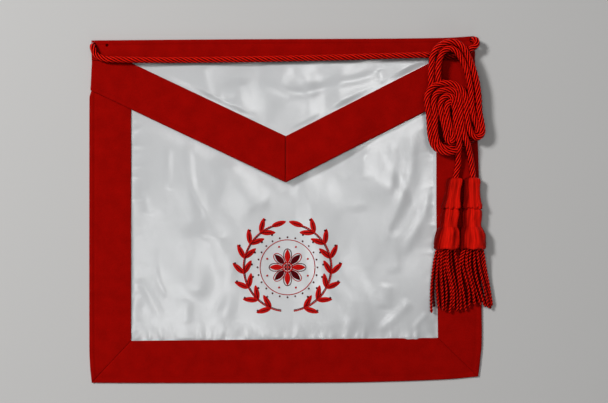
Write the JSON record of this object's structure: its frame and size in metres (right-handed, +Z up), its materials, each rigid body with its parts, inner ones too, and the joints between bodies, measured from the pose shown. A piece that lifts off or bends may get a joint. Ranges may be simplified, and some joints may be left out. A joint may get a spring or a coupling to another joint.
{
  "type": "ceremonial apron",
  "caption": "Flat dress apron: white satin panel edged in red ribbed ribbon, pointed satin flap, embroidered leaf wreath, waist cords gathered in a hank, fringed tassels.",
  "frame": {"origin": "centre of the apron's outline, on the surface that it lies on, leaving out the cords and tassels", "axes": "+X to the right of the face, +Y to the top edge, +Z up out of the face"},
  "size_m": [0.4105, 0.3528, 0.0203],
  "materials": {
    "satin": "white satin with a soft sheen",
    "ribbon": "dark red ribbed ribbon, low sheen",
    "embroidery": "red and maroon embroidery thread",
    "cord": "bright red twisted rayon yarn"
  },
  "bodies": {
    "root": {"body_panel": "satin", "border_left": "ribbon", "border_right": "ribbon", "border_bottom": "ribbon", "flap_panel": "satin", "flap_ribbon_left": "ribbon", "flap_ribbon_right": "ribbon", "top_band": "ribbon", "embroidered_spray_left": "embroidery", "embroidered_spray_right": "embroidery", "embroidered_rosette": "embroidery", "cord_left": "cord", "cord_right": "cord", "tassel_lead_left": "cord", "tassel_lead_right": "cord", "cord_hank": "cord", "tassel_left": "cord", "tassel_right": "cord"}
  },
  "joints": []
}
